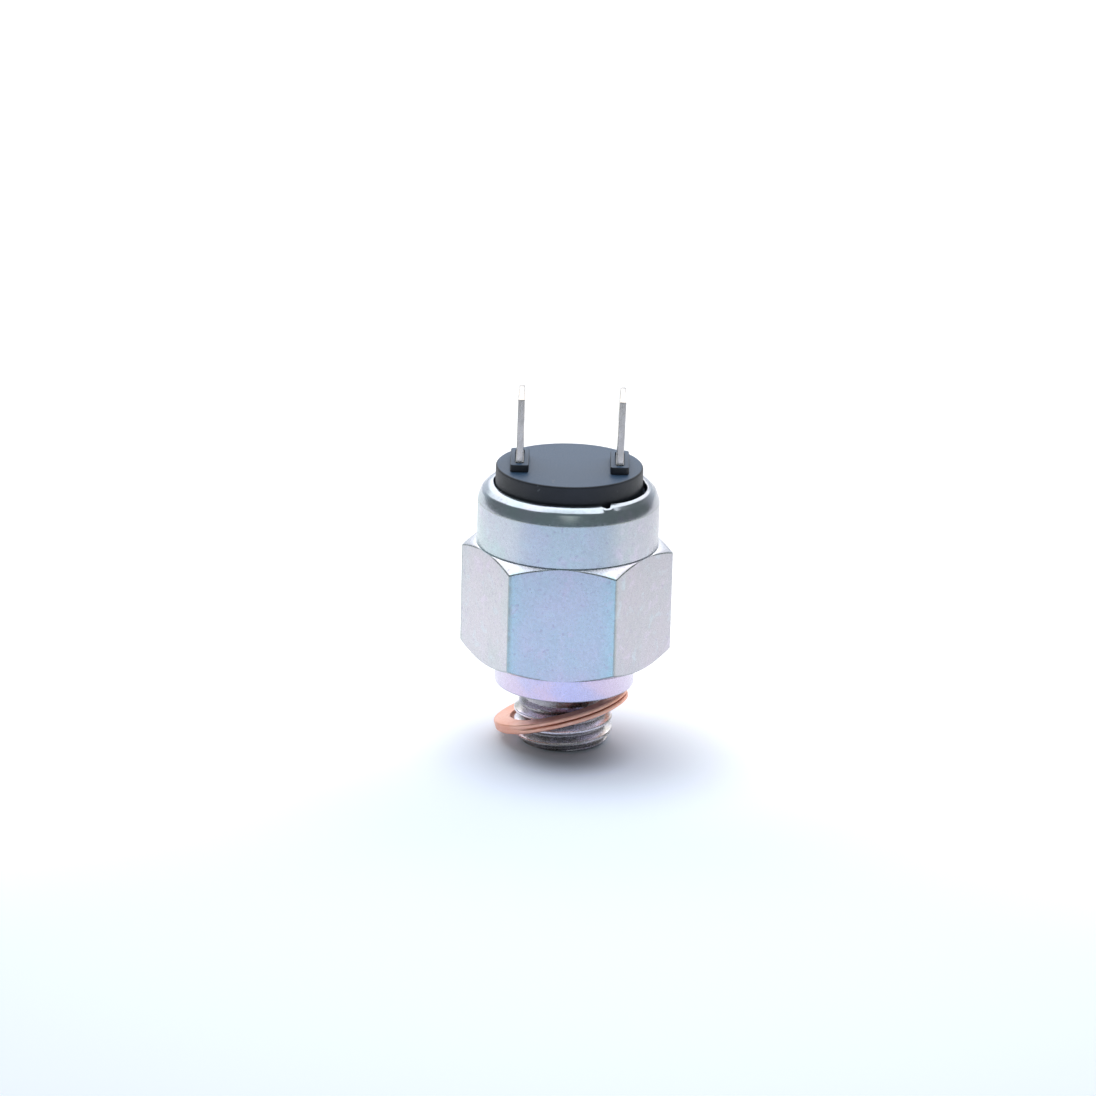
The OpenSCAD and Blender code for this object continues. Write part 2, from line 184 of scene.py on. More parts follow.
# ---------------------------------------------------------------- materials
def zinc_material():
    """Zinc plate under a clear blue passivation film, whose tint drifts from blue to purplish blue.

    The mesh says where the film is blue, how near an edge is, and what the thread has worn. It also
    carries painted light: the +X side painted a darker purple grey, partly a tint and partly painted
    shade; dark painted reflections on the rounded edges; painted shade in the thread's roots and neck; a
    near-white painted highlight on the hexagon's chamfers; and the flange painted lighter than the shade
    under the hexagon leaves it.
    """
    material, n, shader = new_material("zinc_plate", Metallic=1.0)
    spot = n.place_mm()
    height = n.add("ShaderNodeSeparateXYZ", {0: spot}).outputs[2]
    drift = n.noise(spot, 0.16, 2)
    patch = n.noise(spot, 0.5, 3, distortion=0.6)
    grain = n.noise(spot, 2.8, 4, 0.7)
    speck = n.noise(spot, 1.9, 3, 0.6)
    blue = n.mix(n.remap(drift, 0.35, 0.65), (0.47, 0.55, 0.65), (0.53, 0.54, 0.67))
    pale = n.mix(n.remap(drift, 0.35, 0.65), (0.48, 0.49, 0.50), (0.52, 0.50, 0.53))
    film = n.mix(n.attribute("film"), pale, blue)
    teal = n.mix(n.remap(drift, 0.40, 0.55), (0.50, 0.54, 0.62), (0.44, 0.55, 0.58))
    film = n.mix(n.remap(height, TUBE_Z - 0.1, TUBE_Z, 0, 0.75), film, teal)
    film = n.mix(n.attribute("rim"), film, (0.41, 0.60, 0.67))
    # Partly painted shade: towards +X the plate is painted a darker purple grey, partly a tint of the
    # film and partly the shade on that side.
    film = n.mix(n.math("MULTIPLY", n.attribute("lilac_shade"), 0.6), film, (0.41, 0.38, 0.42))
    # Painted highlight: the hexagon's chamfer triangles are painted near white, brightening their
    # reflection of the soft box.
    film = n.mix(n.attribute("crown"), film, (0.96, 0.95, 1.0))
    film = n.mix(n.remap(patch, 0.55, 0.72, 0, 0.35), film, (0.50, 0.63, 0.70))
    film = n.mix(n.remap(patch, 0.45, 0.28, 0, 0.35), film, (0.62, 0.54, 0.70))
    film = n.mix(n.remap(grain, 0.5, 0.75, 0, 0.30), film, (0.42, 0.43, 0.54))
    film = n.mix(n.remap(speck, 0.60, 0.70, 0, 0.45), film, (0.36, 0.32, 0.46))
    # Partly painted light: the flange is a violet tint, painted lighter than the plate to lift it out of
    # the shade under the hexagon.
    flange = n.mix(n.remap(drift, 0.40, 0.60), (0.82, 0.63, 0.80), (0.64, 0.61, 0.88))
    flange = n.mix(n.attribute("film"), (0.56, 0.53, 0.66), flange)
    film = n.mix(n.math("MULTIPLY", n.attribute("violet_lit"), 0.9), film, flange)
    streak = n.noise(n.place_mm((0.25, 0.25, 2.2)), 1.1, 4, 0.6)
    worn = n.mix(n.remap(streak, 0.38, 0.62), (0.54, 0.52, 0.48), (0.94, 0.89, 1.0))
    film = n.mix(n.attribute("thread"), film, worn)
    # Painted shade: the thread's roots and the relief neck under the flange are painted dark.
    film = n.mix(n.math("MULTIPLY", n.attribute("root_shade"), 0.7), film, (0.24, 0.23, 0.235))
    # Painted reflection: the rounded edges and the hexagon's rounded corners are painted dark
    # grey-green, standing in for the dark things they mirror.
    edge = n.math("MULTIPLY", n.attribute("edge"), n.remap(patch, 0.35, 0.6, 0.85, 0.45))
    film = n.mix(edge, film, (0.33, 0.36, 0.35))
    burnished = n.remap(height, LIP_Z - ROLL_H - 0.2, LIP_Z - ROLL_H + 0.3, 1, 0.75)
    rough = n.math("MULTIPLY", n.remap(grain, 0.3, 0.75, 0.22, 0.36), burnished)
    relief = n.math("ADD", n.math("MULTIPLY", grain, 0.6), n.math("MULTIPLY", patch, 0.4))
    plug(n, shader, Base_Color=film, Roughness=rough, Normal=n.bump(relief, 0.010, 0.5))
    return material


def copper_material():
    material, n, shader = new_material("soft_copper", Metallic=1.0)
    spot = n.place_mm()
    cloud = n.noise(spot, 0.35, 3)
    grain = n.noise(spot, 3.2, 4, 0.65)
    groove = n.attribute("edge")
    tone = n.mix(n.remap(cloud, 0.35, 0.65), (0.80, 0.41, 0.30), (0.84, 0.50, 0.40))
    tone = n.mix(n.remap(grain, 0.55, 0.75, 0, 0.4), tone, (0.66, 0.31, 0.20))
    # Painted shade: the fold's groove is painted dark copper.
    tone = n.mix(groove, tone, (0.38, 0.17, 0.11))
    rough = n.remap(grain, 0.3, 0.7, 0.34, 0.5)
    plug(n, shader, Base_Color=tone, Roughness=rough, Normal=n.bump(grain, 0.02, 0.6))
    return material


def cap_material():
    """Black glass-filled moulding: satin, very finely pitted, with scuffs on top, and a painted sheen:
    faces that look up are painted a pale bluish grey.
    """
    material, n, shader = new_material("cap_moulding", IOR=1.5)
    spot = n.place_mm()
    pits = n.noise(spot, 5.5, 3, 0.6)
    haze = n.noise(spot, 0.3, 2)
    scuff = n.noise(n.place_mm((1.0, 0.35, 1.0)), 1.3, 4, 0.6, 0.4)
    facing = n.add("ShaderNodeNewGeometry").outputs["Normal"]
    up = n.add("ShaderNodeSeparateXYZ", {0: facing}).outputs[2]
    tone = n.mix(n.remap(haze, 0.35, 0.65), (0.007, 0.011, 0.019), (0.011, 0.015, 0.025))
    # Painted sheen: faces that look up are painted a pale bluish grey.
    tone = n.mix(n.remap(up, 0.85, 1.0, 0, 0.9), tone, (0.033, 0.084, 0.165))
    tone = n.mix(n.remap(scuff, 0.66, 0.72, 0, 0.3), tone, (0.16, 0.18, 0.20))
    rough = n.remap(pits, 0.3, 0.7, 0.42, 0.54)
    plug(n, shader, Base_Color=tone, Roughness=rough, Normal=n.bump(pits, 0.010, 0.4))
    return material


def metal_material(name, light, dark, rough, grain_per_mm, stretch=(1, 1, 1)):
    """Bare or plated metal with a drawn or turned grain, whose deepest lines are dark."""
    material, n, shader = new_material(name, Metallic=1.0)
    grain = n.noise(n.place_mm(stretch), grain_per_mm, 4, 0.6)
    cloud = n.noise(n.place_mm(), 0.4, 2)
    tone = n.mix(n.remap(cloud, 0.35, 0.65), light, dark)
    tone = n.mix(n.remap(grain, 0.6, 0.8, 0, 0.35), tone, (0.25, 0.24, 0.22))
    shine = n.remap(grain, 0.3, 0.7, rough - 0.06, rough + 0.08)
    plug(n, shader, Base_Color=tone, Roughness=shine, Normal=n.bump(grain, 0.01, 0.4))
    return material


def soft_material(name, light, dark, rough, weave_mm=None):
    """Rubber or plain moulding. With weave_mm, the fabric of a backed diaphragm shows through."""
    material, n, shader = new_material(name)
    grain = n.noise(n.place_mm(), 3.0, 3)
    tone = n.mix(n.remap(grain, 0.35, 0.65), light, dark)
    height = grain
    if weave_mm:
        inputs = {"Vector": n.place_mm(), "Scale": 1 / weave_mm, "Distortion": 0.4}
        across = n.add("ShaderNodeTexWave", inputs, bands_direction="X").outputs[1]
        along = n.add("ShaderNodeTexWave", inputs, bands_direction="Y").outputs[1]
        height = n.math("MULTIPLY", across, along)
    shine = n.remap(grain, 0.3, 0.7, rough - 0.06, rough + 0.06)
    plug(n, shader, Base_Color=tone, Roughness=shine, Normal=n.bump(height, 0.02, 0.5))
    return material


# ---------------------------------------------------------------- mesh helpers
SAME_POINT = 0.002               # points nearer than this are one


def add_piece(name, mesh_data, material, body, slot, *nodes):
    piece = bpy.data.objects.new(name, mesh_data)
    SCENE.collection.objects.link(piece)
    mesh_data.materials.clear()
    mesh_data.materials.append(material)
    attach(piece, body)
    if nodes:
        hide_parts(*nodes)
    return piece


def smooth(mesh_data, angle=28):
    mesh_data.shade_smooth()
    mesh_data.set_sharp_from_angle(angle=radians(angle))
    return mesh_data


def rounded(corners, steps=4):
    """A line through (r, z, fillet) corners, each fillet drawn as an arc of steps + 1 points.

    Returns (r, z, edge) points, where edge is 1 on the arcs. The count of points depends only on
    the count of corners, so lines of the same corners at different angles join into a surface.
    """
    line = []
    for i, (r, z, fillet) in enumerate(corners):
        here = Vector((r, z))
        if not fillet or i in (0, len(corners) - 1):
            line.append((r, z, 0.0))
            continue
        back = Vector(corners[i - 1][:2]) - here
        ahead = Vector(corners[i + 1][:2]) - here
        reach = min(fillet, back.length * 0.45, ahead.length * 0.45)
        a = here + back.normalized() * reach if back.length else here.copy()
        b = here + ahead.normalized() * reach if ahead.length else here.copy()
        for k in range(steps + 1):
            t = k / steps
            p = a * (1 - t) ** 2 + here * (2 * t * (1 - t)) + b * t ** 2
            line.append((p.x, p.y, 1.0 if 0 < k < steps else 0.0))
    return line


def columns_to_mesh(bm, angles, columns, layer, shift=0, closed=False):
    """Joins one line of (r, z, edge) points per angle into faces, all the way round the axis.

    shift is how many points further along the first column the last one joins, for a helix.
    closed joins the last point of each line to its first.
    """
    rings = []
    for angle, line in zip(angles, columns):
        ring = []
        for r, z, edge in line:
            v = bm.verts.new((r * cos(angle) * MM, r * sin(angle) * MM, z * MM))
            v[layer] = edge
            ring.append(v)
        rings.append(ring)
    count = len(angles)
    for i in range(count):
        ahead = rings[(i + 1) % count]
        jump = shift if i == count - 1 else 0
        points = len(rings[i])
        for j in range(points if closed else points - 1):
            k = (j + 1) % points
            if max(j, k) + jump < points:
                bm.faces.new((rings[i][j], ahead[j + jump], ahead[k + jump], rings[i][k]))


def finish_mesh(bm, name, angle=28):
    bmesh.ops.remove_doubles(bm, verts=bm.verts, dist=SAME_POINT * MM)
    bmesh.ops.dissolve_degenerate(bm, edges=bm.edges, dist=SAME_POINT / 4 * MM)
    bmesh.ops.recalc_face_normals(bm, faces=bm.faces)
    mesh_data = bpy.data.meshes.new(name)
    bm.to_mesh(mesh_data)
    bm.free()
    return smooth(mesh_data, angle)


def with_boolean(mesh_data, cutters, operation):
    """The mesh with other meshes cut from it or joined to it."""
    base = bpy.data.objects.new("boolean_base", mesh_data)
    SCENE.collection.objects.link(base)
    tools = []
    for cutter in cutters:
        tool = bpy.data.objects.new("boolean_tool", cutter)
        SCENE.collection.objects.link(tool)
        step = base.modifiers.new("boolean", "BOOLEAN")
        step.operation, step.solver, step.object = operation, "EXACT", tool
        tools.append(tool)
    graph = bpy.context.evaluated_depsgraph_get()
    made = bpy.data.meshes.new_from_object(base.evaluated_get(graph))
    for o in [base, *tools]:
        bpy.data.objects.remove(o)
    return made


def prism_mesh(centre_x, half_x, half_y, corner, levels):
    """An upright rounded rectangle at centre_x. levels are (z, how far its outline is drawn in)."""
    bm = bmesh.new()
    turns = [radians(90 * q + 90 * k / 4) for q in range(4) for k in range(5)]
    rings = []
    for z, inset in levels:
        ring = []
        for i, t in enumerate(turns):
            sx, sy = ((1, 1), (-1, 1), (-1, -1), (1, -1))[i // 5]
            x = sx * (half_x - corner) + (corner - inset) * cos(t)
            y = sy * (half_y - corner) + (corner - inset) * sin(t)
            ring.append(bm.verts.new(((centre_x + x) * MM, y * MM, z * MM)))
        rings.append(ring)
    for a, b in zip(rings, rings[1:]):
        for j in range(len(a)):
            k = (j + 1) % len(a)
            bm.faces.new((a[j], a[k], b[k], b[j]))
    bm.faces.new(rings[0][::-1])
    bm.faces.new(rings[-1])
    mesh_data = bpy.data.meshes.new("prism")
    bm.to_mesh(mesh_data)
    bm.free()
    return mesh_data


def even_angles(count):
    return [2 * pi * i / count for i in range(count)]


# ---------------------------------------------------------------- housing
CROWN_R = HEX_HALF * (1 + 1 / cos(radians(30))) / 2 / sin(radians(HEX_SLOPE))
FLAT_STEPS, CORNER_STEPS = 40, 8
THREAD_POINTS = 16               # points along one pitch of the thread
NECK_TOP = NECK_Z + THREAD_R - NECK_R + 0.1
NICK_AT, NICK_W, NICK_DEEP = -62, 4.0, 0.75     # the rolling tool's notch: degrees, degrees, mm
DRAWN_AT, DRAWN_W, DRAWN_OUT = 34, 31, 0.45     # past the notch the lip lies further out
RIPPLES = ((0.05, 3, 0.6), (0.03, 8, 2.0), (0.015, 17, 0.0))   # mm, waves round the lip, radians
ROLL_FOOT = (0.13, 0.48)         # in from the tube, up from where the roll starts
ROLL_SHOULDER = (0.47, 0.74)     # in from the tube, down from the lip's top
ROLL_BROW = (9.7, 0.16)          # radius, down from the lip's top


def hexagon_angles():
    """Angles round the housing, close together at the hexagon's rounded corners."""
    flat_end = degrees(atan((HEX_HALF - HEX_CORNER) * tan(radians(30)) / HEX_HALF))
    turns = []
    for side in range(6):
        middle = -90 + HEX_TURN + 60 * side
        turns += [middle - flat_end + 2 * flat_end * i / FLAT_STEPS for i in range(FLAT_STEPS)]
        corner = 60 - 2 * flat_end
        turns += [middle + flat_end + corner * i / CORNER_STEPS for i in range(CORNER_STEPS)]
    return [radians(t) for t in turns]


def hexagon_reach(angle):
    """(distance from the axis to the hexagon at an angle, whether that is on a rounded corner)"""
    off = (degrees(angle) + 90 - HEX_TURN + 30) % 60 - 30
    flat_end = degrees(atan((HEX_HALF - HEX_CORNER) * tan(radians(30)) / HEX_HALF))
    if abs(off) <= flat_end:
        return HEX_HALF / cos(radians(off)), 0.0
    centre = (HEX_HALF - HEX_CORNER) / cos(radians(30))
    side = radians(30 - abs(off))
    inside = max(HEX_CORNER ** 2 - (centre * sin(side)) ** 2, 0)
    return centre * cos(side) + sqrt(inside), 1.0


def thread_reach(angle, z):
    """Radius of the stud at a height: the thread's V, its end chamfer and the relief neck."""
    phase = (z / PITCH - angle / (2 * pi)) % 1
    across = abs(phase - 0.5) * PITCH
    flank = ROOT_R + max(across - PITCH / 16, 0) / tan(radians(30))
    chamfer = STUD_CHAMFER_R + (THREAD_R - STUD_CHAMFER_R) * z / STUD_CHAMFER_H
    neck = max(THREAD_R - max(z - NECK_Z, 0), NECK_R)
    return min(THREAD_R, flank, chamfer, neck)


def thread_column(angle):
    """Points up the stud that climb with the helix, so that crests and roots are clean lines."""
    first = -2 * THREAD_POINTS
    last = ceil(NECK_TOP / PITCH + 1) * THREAD_POINTS
    line = []
    for k in range(first, last + 1):
        z = min(max((k / THREAD_POINTS + angle / (2 * pi)) * PITCH, 0), NECK_TOP)
        line.append((thread_reach(angle, z), z, 0.0))
    return line


def lip_shape(angle):
    """(radius of the lip's inner edge, height of its top) with the marks of the rolling tool."""
    a = degrees(angle)
    off = (a - NICK_AT + 180) % 360 - 180
    wave = sum(size * sin(count * angle + start) for size, count, start in RIPPLES)
    nick = max(0.0, 1 - (abs(off) / NICK_W) ** 3)
    drawn = max(0.0, 1 - (abs(off - DRAWN_AT) / DRAWN_W) ** 4)
    radius = LIP_R + wave + NICK_DEEP * nick + DRAWN_OUT * drawn
    return radius, LIP_Z + 0.16 - 0.08 * drawn + 0.4 * wave - 0.3 * nick


def housing_column(angle):
    """The housing's outline at one angle, from the relief neck up and over the lip, and inside."""
    reach, corner = hexagon_reach(angle)
    drop = sqrt(CROWN_R ** 2 - HEX_HALF ** 2) - sqrt(CROWN_R ** 2 - reach ** 2)
    lip_r, lip_z = lip_shape(angle)
    low, high = HEX_Z + drop, TUBE_Z - drop
    roll_z = LIP_Z - ROLL_H
    lower = rounded([
        (NECK_R, NECK_TOP, 0), (NECK_R, STUD_H, 0.3), (FLANGE_R, STUD_H, 0.2), (FLANGE_R, HEX_Z, 0.06),
        (HEX_HALF - 0.02, HEX_Z, 0.05), (reach, low, 0.16), (reach, high, 0.16),
        (HEX_HALF - 0.02, TUBE_Z, 0.05), (TUBE_R - 0.04, TUBE_Z, 0.02),
        (TUBE_R - 0.04, TUBE_Z + 0.05, 0.02), (TUBE_R, TUBE_Z + 0.12, 0.03),
        (TUBE_R, roll_z, 0.1), (TUBE_R - ROLL_FOOT[0], roll_z + ROLL_FOOT[1], 0),
    ])
    # The rounded corners are marked as edge, which the zinc paints with dark lines as a painted
    # reflection.
    if corner:
        lower = [(r, z, 1.0 if low - 0.05 < z < high + 0.05 and r > HEX_HALF - 0.5 else edge)
                 for r, z, edge in lower]
    brow_r = ROLL_BROW[0] + 0.6 * (lip_r - LIP_R)
    roll = rounded([
        lower[-1], (TUBE_R - ROLL_SHOULDER[0], lip_z - ROLL_SHOULDER[1], 0.25),
        (brow_r, lip_z - ROLL_BROW[1], 0.3), (lip_r + 0.22, lip_z, 0),
    ], 8)
    roll = [(r, z, 0.0) for r, z, _ in roll[1:]]
    inner_edge = rounded([
        roll[-1], (lip_r, lip_z - 0.03, 0.22), (lip_r + 0.02, LIP_Z - LIP_T, 0.05),
        (INNER[0][0], LIP_Z - LIP_T, 0),
    ])[1:]
    return lower + roll + inner_edge


def housing():
    """The bores, the outside above the neck, and the stud, which join where their end points meet."""
    angles = hexagon_angles()
    bm = bmesh.new()
    layer = bm.verts.layers.float.new("edge")
    inside = [(r, z, 0.0) for r, z in [*INNER, (PORT_R, PORT_MOUTH_H), (PORT_MOUTH_R, 0.0)]]
    inner_columns = [inside + [(thread_reach(a, 0), 0.0, 0.0)] for a in angles]
    columns_to_mesh(bm, angles, inner_columns, layer)
    columns_to_mesh(bm, angles, [housing_column(a) for a in angles], layer)
    start = angles.index(min(angles, key=lambda a: a % (2 * pi)))
    turned = [a % (2 * pi) for a in angles[start:] + angles[:start]]
    columns_to_mesh(bm, turned, [thread_column(a) for a in turned], layer, shift=THREAD_POINTS)
    paint_housing(bm)
    return finish_mesh(bm, "housing")


def paint_housing(bm):
    """Says at each vertex how the film is tinted there, where light and shade are painted on it, and how
    deep in the thread it lies.
    """
    names = ("film", "rim", "lilac_shade", "crown", "violet_lit", "thread", "root_shade")
    film, rim, lilac_shade, crown, violet_lit, thread, root_shade = [bm.verts.layers.float.new(k) for k in names]
    for v in bm.verts:
        x, y, z = [c / MM for c in v.co]
        out, turn = hypot(x, y), atan2(y, x)
        if HEX_Z - 0.01 < z < TUBE_Z + 0.01 and out > HEX_HALF - 0.05:
            off = (degrees(turn) + 90 - HEX_TURN + 30) % 60 - 30
            across = out * cos(radians(off))
            turn -= radians(off)
            # The chamfer triangles are marked here for the near-white painted highlight.
            if across < HEX_HALF - 0.15:
                v[crown] = 1
            else:
                v[rim] = max(0.0, 1 - (30 - abs(off)) / 10) ** 1.5 * abs(sin(turn)) ** 3
        v[film] = sin(turn) ** 2
        # Partly painted shade: this grows towards +X, where the plate is painted darker.
        v[lilac_shade] = max(0.0, cos(turn))
        # The flange below the hexagon gets the violet tint and its painted light.
        v[violet_lit] = min(max((HEX_Z + 0.02 - z) / 0.1, 0), 1)
        v[thread] = min(max((STUD_H - 0.1 - z) / 0.3, 0), 1)
        # Painted shade: the deeper a point lies in the thread or the neck, the darker it is painted.
        if z < STUD_H - 0.05 and out > NECK_R - 0.1:
            crest = THREAD_R - 0.12
            v[root_shade] = min(max((crest - out) / (crest - ROOT_R), 0), 1)


# ---------------------------------------------------------------- washer
FOLD_OPEN = radians(-24)         # the side where the fold of the washer gapes most
GROOVE_W, GROOVE_DEEP = 0.12, 0.3


def washer():
    """Two leaves of copper folded round each other: a groove runs round the outer edge."""
    half = WASHER_T / 2
    outline = rounded([
        (WASHER_R - 1.0, half, 0), (WASHER_R, half, 0.22), (WASHER_R, GROOVE_W, 0.06),
        (WASHER_R - GROOVE_DEEP, 0.0, 0.05), (WASHER_R - 0.02, -GROOVE_W, 0.06),
        (WASHER_R - 0.03, -half, 0.22),
        (WASHER_IN_R + 0.4, -half, 0), (WASHER_IN_R, -half, 0.28), (WASHER_IN_R, half, 0.28),
        (WASHER_IN_R + 0.4, half, 0),
    ], 5)
    columns = []
    angles = even_angles(160)
    for a in angles:
        lift = 0.03 * sin(2 * a + 0.5) + 0.02 * sin(5 * a + 1.3) - 0.055
        open_fold = min(max(1.5 * cos(a - FOLD_OPEN) - 0.15, 0.04), 1)
        line = []
        for r, z, _ in outline:
            # The groove's mask goes into the edge layer, for the copper's painted shade in the groove.
            groove = max(0.0, 1 - hypot(r - WASHER_R + GROOVE_DEEP, z) / (2 * GROOVE_W))
            if abs(z) < GROOVE_W + 0.01:
                r = WASHER_R + (r - WASHER_R) * open_fold
            line.append((r, z + lift, groove * open_fold))
        columns.append(line)
    bm = bmesh.new()
    layer = bm.verts.layers.float.new("edge")
    columns_to_mesh(bm, angles, columns, layer, closed=True)
    turn = Matrix.Rotation(radians(WASHER_HIGH), 4, "Z")
    move = Matrix.Translation(Vector((-WASHER_SHIFT, 0, WASHER_Z)) * MM)
    tilt = Matrix.Rotation(-radians(WASHER_TILT), 4, "Y")
    bmesh.ops.transform(bm, matrix=turn @ move @ tilt, verts=bm.verts)
    return finish_mesh(bm, "washer", 40)


# ---------------------------------------------------------------- cap
def cap():
    """The turned outline, with a raised seat for each blade, its sunk mouth and the blade's slot."""
    outline = rounded([
        (0, CEILING_Z, 0), (CAP_SKIRT_IN_R, CEILING_Z, 0.1), (CAP_SKIRT_IN_R, CAP_SKIRT_Z, 0.1),
        (CAP_SKIRT_R, CAP_SKIRT_Z, 0.1), (CAP_SKIRT_R, CAP_FLANGE_Z, 0.1),
        (CAP_FLANGE_R, CAP_FLANGE_Z, 0.1), (CAP_FLANGE_R, LIP_Z - LIP_T, 0.1),
        (CAP_R + 0.04, LIP_Z - LIP_T, 0.15), (CAP_R, CAP_TOP, 0.28), (0, CAP_TOP, 0),
    ], 5)
    angles = even_angles(180)
    bm = bmesh.new()
    layer = bm.verts.layers.float.new("edge")
    columns_to_mesh(bm, angles, [outline for _ in angles], layer)
    made = finish_mesh(bm, "cap", 35)
    sink, over, edge = 0.3, 1.0, 0.12
    boss_top = CAP_TOP + BOSS_H
    raised, cuts = [], []
    for side in (-1, 1):
        x = side * BLADE_X
        raised.append(prism_mesh(x, BOSS_W / 2, BOSS_L / 2, 0.45, [
            (CAP_TOP - sink, 0), (boss_top - edge, 0), (boss_top - edge * 0.3, edge * 0.3),
            (boss_top, edge)]))
        cuts.append(prism_mesh(x, MOUTH_W / 2, MOUTH_L / 2, 0.2, [
            (boss_top - MOUTH_H, 0), (boss_top - 0.1, 0), (boss_top + over, -0.1)]))
        cuts.append(prism_mesh(x, BLADE_T / 2 + ROOT_STEP, BLADE_W / 2, 0.02, [
            (CEILING_Z - over, 0), (boss_top - MOUTH_H / 2, 0)]))
    made = with_boolean(made, raised, "UNION")
    made = with_boolean(made, cuts, "DIFFERENCE")
    return smooth(made, 35)


# ---------------------------------------------------------------- blades
BLADE_LEAN = {-1: 0.5, 1: 1.1}   # degrees that each blade leans towards +X


def blade(side):
    """A blade with rounded edges and a tapered tip, and its foot turned in under the cap."""
    half_t, half_w, edge = BLADE_T / 2, BLADE_W / 2, 0.09
    tip_t, tip_z = TIP_T / 2, BLADE_TOP - TIP_H
    levels = [
        (FOOT_Z, half_t + ROOT_STEP, half_w),
        (ROOT_TOP, half_t + ROOT_STEP, half_w),
        (ROOT_TOP + ROOT_STEP, half_t, half_w),
        (tip_z - 0.1, half_t, half_w),
        (tip_z, half_t, half_w - 0.03),
        (tip_z + TIP_H / 2, (half_t + tip_t) / 2, half_w - TIP_DEEP * 0.5),
        (BLADE_TOP - 0.06, tip_t + 0.01, half_w - TIP_DEEP * 0.92),
        (BLADE_TOP, tip_t - 0.04, half_w - TIP_DEEP - 0.06),
    ]
    bm = bmesh.new()
    rings = []
    for z, t, w in levels:
        ring = []
        for sx, sy in ((1, 1), (-1, 1), (-1, -1), (1, -1)):
            corner = [(t, w - edge), (t - edge * 0.3, w - edge * 0.3), (t - edge, w)]
            if sx != sy:
                corner = corner[::-1]
            ring += [bm.verts.new((sx * x * MM, sy * y * MM, z * MM)) for x, y in corner]
        rings.append(ring)
    count = len(rings[0])
    for a, b in zip(rings, rings[1:]):
        for j in range(count):
            k = (j + 1) % count
            bm.faces.new((a[j], a[k], b[k], b[j]))
    bm.faces.new(rings[0][::-1])
    bm.faces.new(rings[-1])
    upright = finish_mesh(bm, "blade", 35)
    hole = bmesh.new()
    latch = Matrix.Translation(Vector((0, 0, BLADE_TOP - LATCH_DOWN)) * MM)
    bmesh.ops.create_cone(hole, cap_ends=True, segments=40, radius1=LATCH_R * MM, radius2=LATCH_R * MM,
                          depth=4 * MM, matrix=latch @ Matrix.Rotation(pi / 2, 4, "Y"))
    hole_mesh = bpy.data.meshes.new("latch_hole")
    hole.to_mesh(hole_mesh)
    hole.free()
    upright = with_boolean(upright, [hole_mesh], "DIFFERENCE")
    lean = Matrix.Rotation(radians(BLADE_LEAN[side]), 4, "Y")
    base = Matrix.Translation(Vector((0, 0, CAP_TOP)) * MM)
    bend = base @ lean @ base.inverted()
    for v in upright.vertices:
        if v.co.z > (CAP_TOP + 0.5) * MM:
            v.co = bend @ v.co
        v.co.x += side * BLADE_X * MM
    low, high = sorted((side * FOOT_IN, side * (BLADE_X - half_t / 2)))
    foot = prism_mesh((low + high) / 2, (high - low) / 2, half_w, 0.06, [
        (FOOT_Z, 0.04), (FOOT_Z + 0.04, 0), (FOOT_Z + BLADE_T - 0.04, 0), (FOOT_Z + BLADE_T, 0.04)])
    return smooth(with_boolean(upright, [foot], "UNION"), 35)


# ---------------------------------------------------------------- springs
STROKE, OVERTRAVEL = 0.9, 0.3    # how far the main spring and the contact spring are pressed
MAIN_Z, MAIN_H, MAIN_R, MAIN_WIRE, MAIN_TURNS = 15.3, 6.9, 2.75, 0.8, 4
CONTACT_Z, CONTACT_H, CONTACT_R, CONTACT_WIRE, CONTACT_TURNS = 24.6, 1.8, 1.6, 0.3, 2


def coil(base, height, mean_r, wire, turns, per_turn=40, around=12):
    """A compression spring whose first and last turns lie closed on their neighbours."""
    seat_gap = 0.01
    base, height = base + seat_gap, height - 2 * seat_gap
    total = turns + 2
    rise = height - wire
    open_pitch = (rise - 2 * wire) / turns
    bm = bmesh.new()
    rings = []
    for i in range(total * per_turn + 1):
        t = i / per_turn
        climb = wire + (t - 1) * open_pitch
        if t < 1:
            climb = t * wire
        elif t > turns + 1:
            climb = rise - (total - t) * wire
        middle = base + wire / 2 + climb
        ring = []
        for k in range(around):
            c = 2 * pi * (k + 0.5) / around
            r, z = mean_r + wire / 2 * cos(c), middle + wire / 2 * sin(c)
            ring.append(bm.verts.new((r * cos(2 * pi * t) * MM, r * sin(2 * pi * t) * MM, z * MM)))
        rings.append(ring)
    for a, b in zip(rings, rings[1:]):
        for j in range(around):
            k = (j + 1) % around
            bm.faces.new((a[j], a[k], b[k], b[j]))
    bm.faces.new(rings[0])
    bm.faces.new(rings[-1])
    bmesh.ops.recalc_face_normals(bm, faces=bm.faces)
    mesh_data = bpy.data.meshes.new("coil")
    bm.to_mesh(mesh_data)
    bm.free()
    return smooth(mesh_data, 50)


# ---------------------------------------------------------------- stage and light
BOX_UP, BOX_EDGE, BOX_GLOW = 60, 0.72, 2.0   # the soft box: degrees up, its edge's cosine, its light
LAMP_WAY, LAMP_EDGE = (0.03, -0.85, 0.52), (0.965, 0.995)   # a small lamp low in the front
FLOOR_HALF, FLOOR_GAP = 3.0, 0.02   # half the floor's width in metres, its drop under the stud in mm
FILL_FROM, CONTACT_AT = (5, -2, 0), (0.5, -6, 0)   # where the floor is darkest, and the middle of its painted contact shadow


